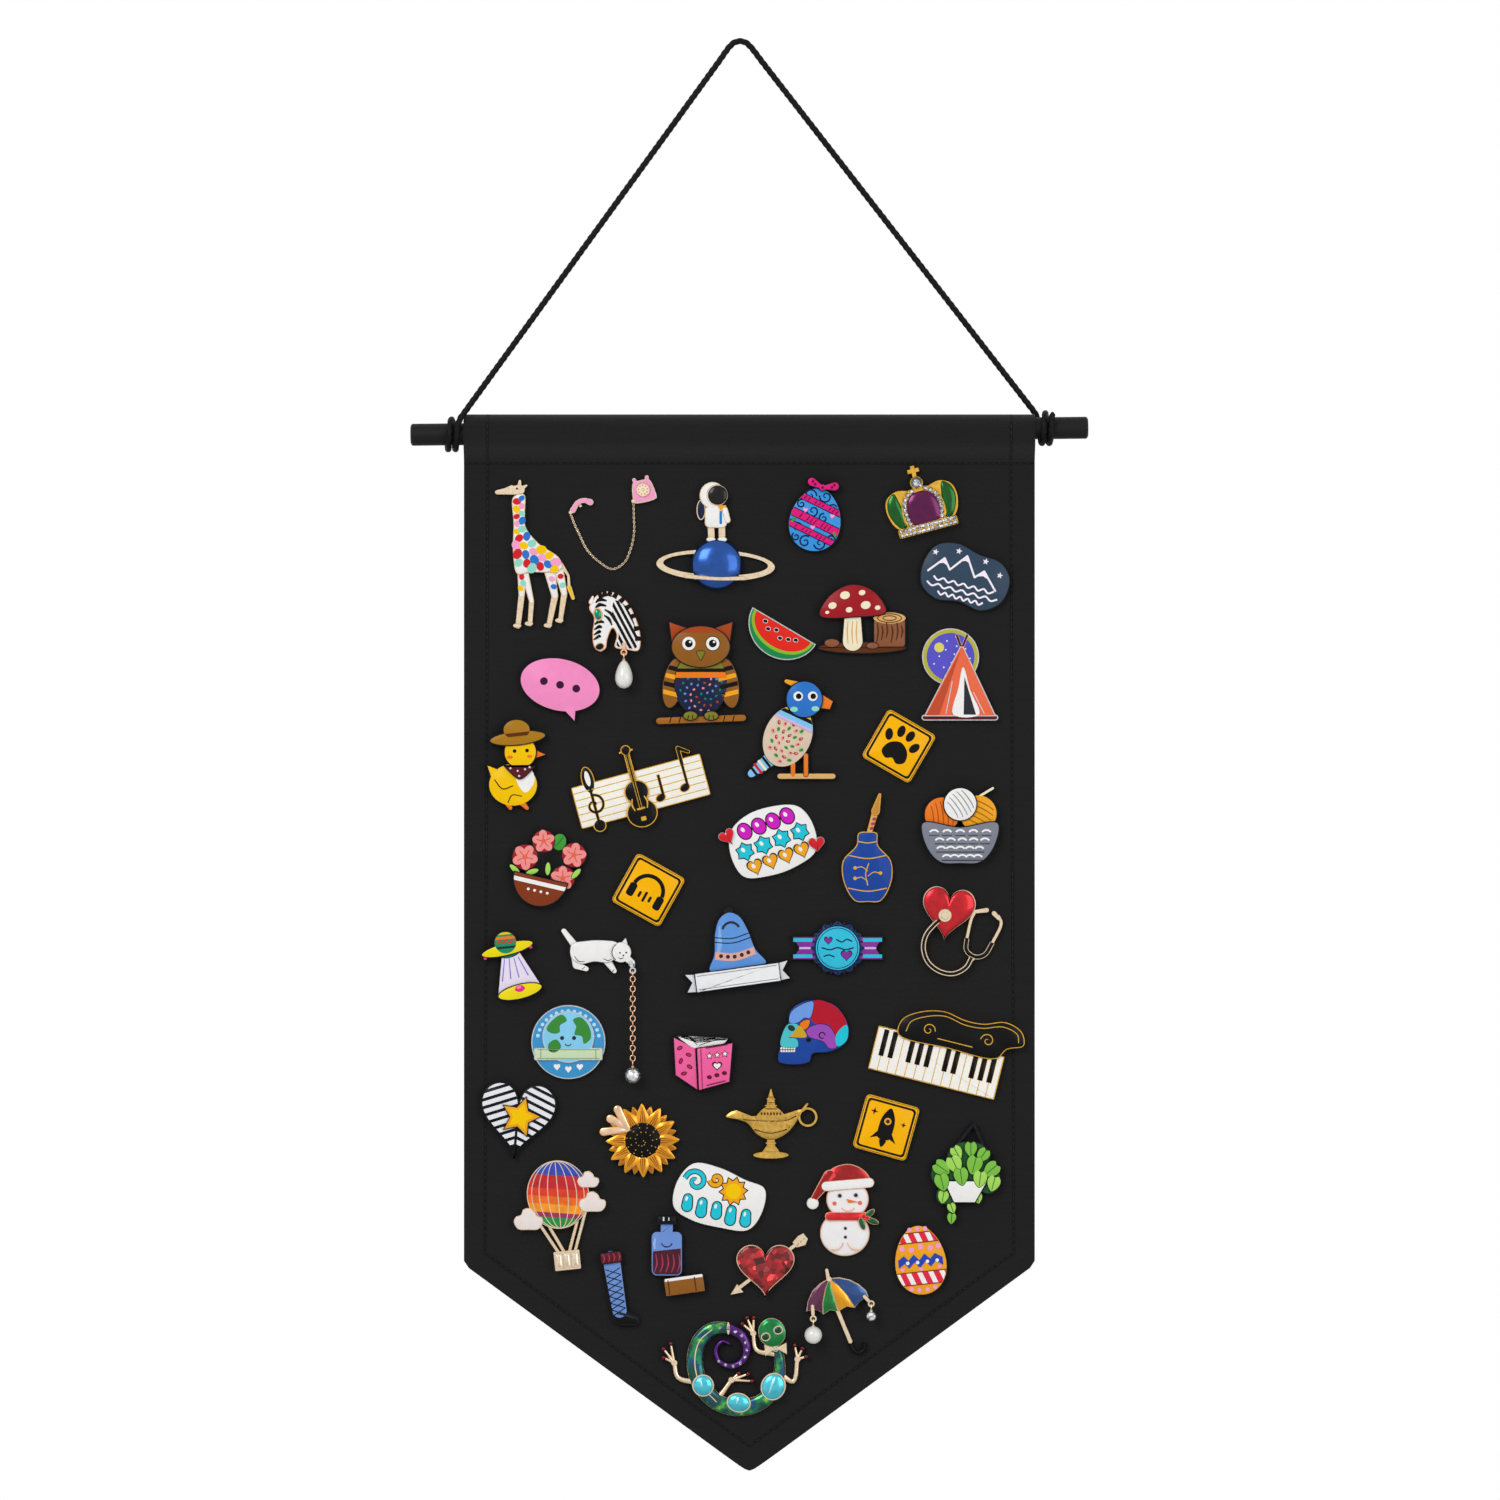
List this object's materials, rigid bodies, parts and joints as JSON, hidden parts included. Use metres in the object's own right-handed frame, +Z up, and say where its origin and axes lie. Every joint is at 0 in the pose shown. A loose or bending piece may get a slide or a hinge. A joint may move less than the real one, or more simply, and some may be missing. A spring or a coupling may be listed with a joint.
{
  "type": "pin badge display banner",
  "caption": "Black canvas pennant with a pointed foot on a dowel and cord, holding enamel pins, brooches and small hanging charms that swing or pull off.",
  "frame": {"origin": "underside of the cord where it rests on the nail", "axes": "+Z up along the banner's height, +X to the viewer's right along the dowel, +Y towards the wall"},
  "size_m": [0.261, 0.0151, 0.5513],
  "materials": {
    "black_canvas": "plain woven cotton canvas",
    "black_wood": "satin black paint on a wooden dowel",
    "black_cord": "twisted polyester cord",
    "pale_gold": "polished pale gold plating",
    "rich_gold": "polished gold plating",
    "pearl": "pearl lustre",
    "crystal": "faceted clear stone",
    "pink_enamel": "hard enamel",
    "blue_enamel": "hard enamel",
    "slate_enamel": "hard enamel",
    "white_enamel": "hard enamel",
    "brown_enamel": "hard enamel",
    "red_enamel": "hard enamel",
    "orange_enamel": "hard enamel",
    "yellow_enamel": "hard enamel",
    "grey_enamel": "hard enamel",
    "green_enamel": "hard enamel"
  },
  "bodies": {
    "hanger": {"hanging_rod": "black_wood", "hanging_cord": "black_cord", "left_cord_wrap": "black_cord", "right_cord_wrap": "black_cord"},
    "banner": {"banner_canvas": "black_canvas"},
    "pearl_drop": {"pearl_drop": "pearl"},
    "crystal_chain": {"crystal_chain": "pale_gold"},
    "umbrella_pearl": {"umbrella_pearl": "pearl"},
    "umbrella_crystal": {"umbrella_crystal": "crystal"},
    "giraffe_pin": {"giraffe_pin": "pale_gold"},
    "telephone": {"telephone_pin": "pink_enamel", "handset_pin": "pink_enamel", "telephone_chain": "pale_gold"},
    "astronaut_pin": {"astronaut_pin": "blue_enamel"},
    "painted_egg_pin": {"painted_egg_pin": "blue_enamel"},
    "crown_pin": {"crown_pin": "rich_gold"},
    "slate_plaque_pin": {"slate_plaque_pin": "slate_enamel"},
    "zebra_pin": {"zebra_pin": "white_enamel"},
    "owl_pin": {"owl_pin": "brown_enamel"},
    "watermelon_pin": {"watermelon_pin": "red_enamel"},
    "toadstool_pin": {"toadstool_pin": "red_enamel"},
    "night_tent_pin": {"night_tent_pin": "orange_enamel"},
    "speech_bubble_pin": {"speech_bubble_pin": "pink_enamel"},
    "parrot_pin": {"parrot_pin": "blue_enamel"},
    "paw_sign_pin": {"paw_sign_pin": "yellow_enamel"},
    "headphone_sign_pin": {"headphone_sign_pin": "yellow_enamel"},
    "rocket_sign_pin": {"rocket_sign_pin": "yellow_enamel"},
    "duckling_pin": {"duckling_pin": "yellow_enamel"},
    "sheet_music_pin": {"sheet_music_pin": "white_enamel"},
    "rainbow_plaque_pin": {"rainbow_plaque_pin": "white_enamel"},
    "blue_vase_pin": {"blue_vase_pin": "blue_enamel"},
    "yarn_basket_pin": {"yarn_basket_pin": "grey_enamel"},
    "flower_bowl_pin": {"flower_bowl_pin": "brown_enamel"},
    "bell_pin": {"bell_pin": "blue_enamel"},
    "rosette_pin": {"rosette_pin": "blue_enamel"},
    "stethoscope_pin": {"stethoscope_pin": "red_enamel"},
    "saucer_pin": {"saucer_pin": "yellow_enamel"},
    "white_cat_pin": {"white_cat_pin": "white_enamel"},
    "globe_pin": {"globe_pin": "blue_enamel"},
    "pink_book_pin": {"pink_book_pin": "pink_enamel"},
    "skull_pin": {"skull_pin": "red_enamel"},
    "piano_pin": {"piano_pin": "white_enamel"},
    "striped_heart_pin": {"striped_heart_pin": "white_enamel"},
    "sunflower_pin": {"sunflower_pin": "rich_gold"},
    "oil_lamp_pin": {"oil_lamp_pin": "rich_gold"},
    "leafy_pot_pin": {"leafy_pot_pin": "green_enamel"},
    "balloon_pin": {"balloon_pin": "pale_gold"},
    "sun_plaque_pin": {"sun_plaque_pin": "white_enamel"},
    "snowman_pin": {"snowman_pin": "white_enamel"},
    "ink_bottle_pin": {"ink_bottle_pin": "blue_enamel"},
    "boot_pin": {"boot_pin": "blue_enamel"},
    "arrow_heart_pin": {"arrow_heart_pin": "red_enamel"},
    "umbrella_pin": {"umbrella_pin": "pale_gold"},
    "banded_egg_pin": {"banded_egg_pin": "yellow_enamel"},
    "gecko_pin": {"gecko_pin": "green_enamel"}
  },
  "joints": [
    {"name": "banner_swing", "type": "hinge", "parent": "hanger", "child": "banner", "pos_m": [0.0036, 0, -0.1491], "axis": [-0.9999, 0, -0.0105], "range_deg": [-30, 100]},
    {"name": "pearl_swing", "type": "hinge", "parent": "zebra_pin", "child": "pearl_drop", "pos_m": [-0.0447, -0.00285, -0.2343], "axis": [0, -1, 0], "range_deg": [-25, 25]},
    {"name": "chain_swing", "type": "hinge", "parent": "white_cat_pin", "child": "crystal_chain", "pos_m": [-0.0413, -0.00285, -0.3568], "axis": [0, -1, 0], "range_deg": [-10, 10]},
    {"name": "umbrella_pearl_swing", "type": "hinge", "parent": "umbrella_pin", "child": "umbrella_pearl", "pos_m": [0.0282, -0.00285, -0.4908], "axis": [0, -1, 0], "range_deg": [-15, 15]},
    {"name": "umbrella_crystal_swing", "type": "hinge", "parent": "umbrella_pin", "child": "umbrella_crystal", "pos_m": [0.0505, -0.00285, -0.485], "axis": [0, -1, 0], "range_deg": [-15, 15]},
    {"name": "giraffe_pin_pull", "type": "slide", "parent": "banner", "child": "giraffe_pin", "axis": [0, -1, 0], "range_m": [0, 0.012]},
    {"name": "telephone_pull", "type": "slide", "parent": "banner", "child": "telephone", "axis": [0, -1, 0], "range_m": [0, 0.012]},
    {"name": "astronaut_pin_pull", "type": "slide", "parent": "banner", "child": "astronaut_pin", "axis": [0, -1, 0], "range_m": [0, 0.012]},
    {"name": "painted_egg_pin_pull", "type": "slide", "parent": "banner", "child": "painted_egg_pin", "axis": [0, -1, 0], "range_m": [0, 0.012]},
    {"name": "crown_pin_pull", "type": "slide", "parent": "banner", "child": "crown_pin", "axis": [0, -1, 0], "range_m": [0, 0.012]},
    {"name": "slate_plaque_pin_pull", "type": "slide", "parent": "banner", "child": "slate_plaque_pin", "axis": [0, -1, 0], "range_m": [0, 0.012]},
    {"name": "zebra_pin_pull", "type": "slide", "parent": "banner", "child": "zebra_pin", "axis": [0, -1, 0], "range_m": [0, 0.012]},
    {"name": "owl_pin_pull", "type": "slide", "parent": "banner", "child": "owl_pin", "axis": [0, -1, 0], "range_m": [0, 0.012]},
    {"name": "watermelon_pin_pull", "type": "slide", "parent": "banner", "child": "watermelon_pin", "axis": [0, -1, 0], "range_m": [0, 0.012]},
    {"name": "toadstool_pin_pull", "type": "slide", "parent": "banner", "child": "toadstool_pin", "axis": [0, -1, 0], "range_m": [0, 0.012]},
    {"name": "night_tent_pin_pull", "type": "slide", "parent": "banner", "child": "night_tent_pin", "axis": [0, -1, 0], "range_m": [0, 0.012]},
    {"name": "speech_bubble_pin_pull", "type": "slide", "parent": "banner", "child": "speech_bubble_pin", "axis": [0, -1, 0], "range_m": [0, 0.012]},
    {"name": "parrot_pin_pull", "type": "slide", "parent": "banner", "child": "parrot_pin", "axis": [0, -1, 0], "range_m": [0, 0.012]},
    {"name": "paw_sign_pin_pull", "type": "slide", "parent": "banner", "child": "paw_sign_pin", "axis": [0, -1, 0], "range_m": [0, 0.012]},
    {"name": "headphone_sign_pin_pull", "type": "slide", "parent": "banner", "child": "headphone_sign_pin", "axis": [0, -1, 0], "range_m": [0, 0.012]},
    {"name": "rocket_sign_pin_pull", "type": "slide", "parent": "banner", "child": "rocket_sign_pin", "axis": [0, -1, 0], "range_m": [0, 0.012]},
    {"name": "duckling_pin_pull", "type": "slide", "parent": "banner", "child": "duckling_pin", "axis": [0, -1, 0], "range_m": [0, 0.012]},
    {"name": "sheet_music_pin_pull", "type": "slide", "parent": "banner", "child": "sheet_music_pin", "axis": [0, -1, 0], "range_m": [0, 0.012]},
    {"name": "rainbow_plaque_pin_pull", "type": "slide", "parent": "banner", "child": "rainbow_plaque_pin", "axis": [0, -1, 0], "range_m": [0, 0.012]},
    {"name": "blue_vase_pin_pull", "type": "slide", "parent": "banner", "child": "blue_vase_pin", "axis": [0, -1, 0], "range_m": [0, 0.012]},
    {"name": "yarn_basket_pin_pull", "type": "slide", "parent": "banner", "child": "yarn_basket_pin", "axis": [0, -1, 0], "range_m": [0, 0.012]},
    {"name": "flower_bowl_pin_pull", "type": "slide", "parent": "banner", "child": "flower_bowl_pin", "axis": [0, -1, 0], "range_m": [0, 0.012]},
    {"name": "bell_pin_pull", "type": "slide", "parent": "banner", "child": "bell_pin", "axis": [0, -1, 0], "range_m": [0, 0.012]},
    {"name": "rosette_pin_pull", "type": "slide", "parent": "banner", "child": "rosette_pin", "axis": [0, -1, 0], "range_m": [0, 0.012]},
    {"name": "stethoscope_pin_pull", "type": "slide", "parent": "banner", "child": "stethoscope_pin", "axis": [0, -1, 0], "range_m": [0, 0.012]},
    {"name": "saucer_pin_pull", "type": "slide", "parent": "banner", "child": "saucer_pin", "axis": [0, -1, 0], "range_m": [0, 0.012]},
    {"name": "white_cat_pin_pull", "type": "slide", "parent": "banner", "child": "white_cat_pin", "axis": [0, -1, 0], "range_m": [0, 0.012]},
    {"name": "globe_pin_pull", "type": "slide", "parent": "banner", "child": "globe_pin", "axis": [0, -1, 0], "range_m": [0, 0.012]},
    {"name": "pink_book_pin_pull", "type": "slide", "parent": "banner", "child": "pink_book_pin", "axis": [0, -1, 0], "range_m": [0, 0.012]},
    {"name": "skull_pin_pull", "type": "slide", "parent": "banner", "child": "skull_pin", "axis": [0, -1, 0], "range_m": [0, 0.012]},
    {"name": "piano_pin_pull", "type": "slide", "parent": "banner", "child": "piano_pin", "axis": [0, -1, 0], "range_m": [0, 0.012]},
    {"name": "striped_heart_pin_pull", "type": "slide", "parent": "banner", "child": "striped_heart_pin", "axis": [0, -1, 0], "range_m": [0, 0.012]},
    {"name": "sunflower_pin_pull", "type": "slide", "parent": "banner", "child": "sunflower_pin", "axis": [0, -1, 0], "range_m": [0, 0.012]},
    {"name": "oil_lamp_pin_pull", "type": "slide", "parent": "banner", "child": "oil_lamp_pin", "axis": [0, -1, 0], "range_m": [0, 0.012]},
    {"name": "leafy_pot_pin_pull", "type": "slide", "parent": "banner", "child": "leafy_pot_pin", "axis": [0, -1, 0], "range_m": [0, 0.012]},
    {"name": "balloon_pin_pull", "type": "slide", "parent": "banner", "child": "balloon_pin", "axis": [0, -1, 0], "range_m": [0, 0.012]},
    {"name": "sun_plaque_pin_pull", "type": "slide", "parent": "banner", "child": "sun_plaque_pin", "axis": [0, -1, 0], "range_m": [0, 0.012]},
    {"name": "snowman_pin_pull", "type": "slide", "parent": "banner", "child": "snowman_pin", "axis": [0, -1, 0], "range_m": [0, 0.012]},
    {"name": "ink_bottle_pin_pull", "type": "slide", "parent": "banner", "child": "ink_bottle_pin", "axis": [0, -1, 0], "range_m": [0, 0.012]},
    {"name": "boot_pin_pull", "type": "slide", "parent": "banner", "child": "boot_pin", "axis": [0, -1, 0], "range_m": [0, 0.012]},
    {"name": "arrow_heart_pin_pull", "type": "slide", "parent": "banner", "child": "arrow_heart_pin", "axis": [0, -1, 0], "range_m": [0, 0.012]},
    {"name": "umbrella_pin_pull", "type": "slide", "parent": "banner", "child": "umbrella_pin", "axis": [0, -1, 0], "range_m": [0, 0.012]},
    {"name": "banded_egg_pin_pull", "type": "slide", "parent": "banner", "child": "banded_egg_pin", "axis": [0, -1, 0], "range_m": [0, 0.012]},
    {"name": "gecko_pin_pull", "type": "slide", "parent": "banner", "child": "gecko_pin", "axis": [0, -1, 0], "range_m": [0, 0.012]}
  ]
}
